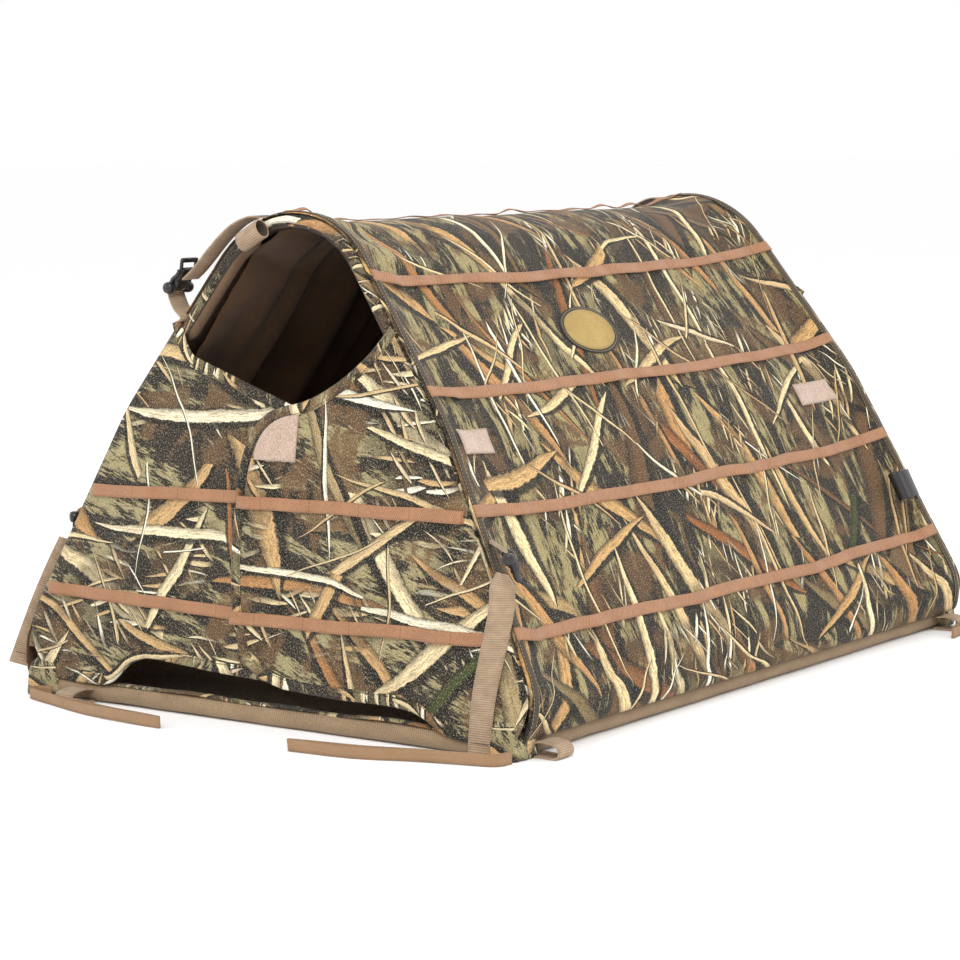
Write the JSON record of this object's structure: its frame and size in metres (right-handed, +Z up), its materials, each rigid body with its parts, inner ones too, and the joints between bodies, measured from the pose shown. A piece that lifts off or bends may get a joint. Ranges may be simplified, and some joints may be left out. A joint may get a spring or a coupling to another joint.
{
  "type": "folding dog blind",
  "caption": "Small folding A-frame field blind for a dog: camouflage cloth shell on hinged tube hoops, with a head port above overlapping doors, stubble straps, buckles and a floor.",
  "frame": {"origin": "on the ground, at the middle of the base frame", "axes": "+Z up, +Y towards the closed rear end, -Y towards the door end with the head port, +X to the right seen from the door end"},
  "size_m": [0.7323, 1.0188, 0.5156],
  "materials": {
    "camo_cloth": "matt printed polyester, brown and olive marsh grass with cream reeds",
    "tan_cloth": "matt tan woven polyester",
    "stubble_webbing": "salmon-tan woven tape",
    "webbing": "ribbed taupe polypropylene webbing",
    "black_plastic": "semi-gloss moulded black acetal",
    "frame_tube": "dark brown powder coat on steel tube",
    "pin_steel": "zinc-plated steel pin"
  },
  "bodies": {
    "base": {"base_tube_front": "frame_tube", "base_sleeve_front": "tan_cloth", "corner_bracket_front_left": "black_plastic", "hinge_pin_front_left": "pin_steel", "stake_loop_front_left": "webbing", "corner_bracket_front_right": "black_plastic", "hinge_pin_front_right": "pin_steel", "stake_loop_front_right": "webbing", "base_tube_rear": "frame_tube", "base_sleeve_rear": "tan_cloth", "corner_bracket_rear_left": "black_plastic", "hinge_pin_rear_left": "pin_steel", "stake_loop_rear_left": "webbing", "corner_bracket_rear_right": "black_plastic", "hinge_pin_rear_right": "pin_steel", "stake_loop_rear_right": "webbing", "base_tube_left": "frame_tube", "base_sleeve_left": "tan_cloth", "side_panel_left": "camo_cloth", "stubble_strap_left_1": "stubble_webbing", "stubble_strap_left_2": "stubble_webbing", "stubble_strap_left_3": "stubble_webbing", "stubble_strap_left_4": "stubble_webbing", "base_tube_right": "frame_tube", "base_sleeve_right": "tan_cloth", "side_panel_right": "camo_cloth", "stubble_strap_right_1": "stubble_webbing", "stubble_strap_right_2": "stubble_webbing", "stubble_strap_right_3": "stubble_webbing", "stubble_strap_right_4": "stubble_webbing", "floor_panel": "tan_cloth", "roof_panel": "camo_cloth", "stubble_strap_ridge": "stubble_webbing", "tie_ribbon_front_right": "webbing", "tie_ribbon_front_left": "webbing", "tie_ribbon_rear_right": "webbing"},
    "front_hoop": {"shoulder_strap_front": "webbing", "shoulder_buckle_front": "black_plastic", "hoop_front_left": "frame_tube", "seam_strip_front_left": "camo_cloth", "corner_buckle_front_left": "black_plastic", "hoop_front_right": "frame_tube", "seam_strip_front_right": "camo_cloth", "corner_buckle_front_right": "black_plastic", "corner_tail_front_left": "webbing", "corner_tail_front_right": "webbing"},
    "rear_hoop": {"shoulder_strap_rear": "webbing", "shoulder_buckle_rear": "black_plastic", "hoop_rear_left": "frame_tube", "seam_strip_rear_left": "camo_cloth", "corner_buckle_rear_left": "black_plastic", "hoop_rear_right": "frame_tube", "seam_strip_rear_right": "camo_cloth", "corner_buckle_rear_right": "black_plastic", "rear_gable_panel": "camo_cloth"},
    "front_door_left": {"door_front_left": "camo_cloth"},
    "front_door_right": {"door_front_right": "camo_cloth"},
    "rear_door_left": {"door_rear_left": "camo_cloth"},
    "rear_door_right": {"door_rear_right": "camo_cloth"}
  },
  "joints": [
    {"name": "front_hoop_fold", "type": "hinge", "parent": "base", "child": "front_hoop", "pos_m": [0, -0.444, 0.03], "axis": [-1, 0, 0], "range_deg": [0, 74], "deforming": ["side_panel_left", "side_panel_right", "roof_panel", "stubble_strap_left_1", "stubble_strap_left_2", "stubble_strap_left_3", "stubble_strap_left_4", "stubble_strap_right_1", "stubble_strap_right_2", "stubble_strap_right_3", "stubble_strap_right_4", "stubble_strap_ridge"]},
    {"name": "rear_hoop_fold", "type": "hinge", "parent": "base", "child": "rear_hoop", "pos_m": [0, 0.444, 0.03], "axis": [1, 0, 0], "range_deg": [0, 79]},
    {"name": "front_door_right_swing", "type": "hinge", "parent": "front_hoop", "child": "front_door_right", "pos_m": [0.24, -0.44866, 0.045], "axis": [0.3003, -0.1332, -0.9445], "range_deg": [-100, 0]},
    {"name": "front_door_left_swing", "type": "hinge", "parent": "front_hoop", "child": "front_door_left", "pos_m": [-0.24, -0.44866, 0.045], "axis": [0.3003, 0.1332, 0.9445], "range_deg": [-70, 0]},
    {"name": "rear_door_right_swing", "type": "hinge", "parent": "rear_hoop", "child": "rear_door_right", "pos_m": [0.24, 0.44866, 0.045], "axis": [-0.3003, -0.1332, 0.9445], "range_deg": [-100, 0]},
    {"name": "rear_door_left_swing", "type": "hinge", "parent": "rear_hoop", "child": "rear_door_left", "pos_m": [-0.24, 0.44866, 0.045], "axis": [-0.3003, 0.1332, -0.9445], "range_deg": [-70, 0]}
  ],
  "couplings": [
    {"joint": "rear_hoop_fold", "follows": "front_hoop_fold", "ratio": 1.0675},
    {"joint": "front_door_left_swing", "follows": "front_door_right_swing", "ratio": 0.7},
    {"joint": "rear_door_left_swing", "follows": "rear_door_right_swing", "ratio": 0.7}
  ]
}
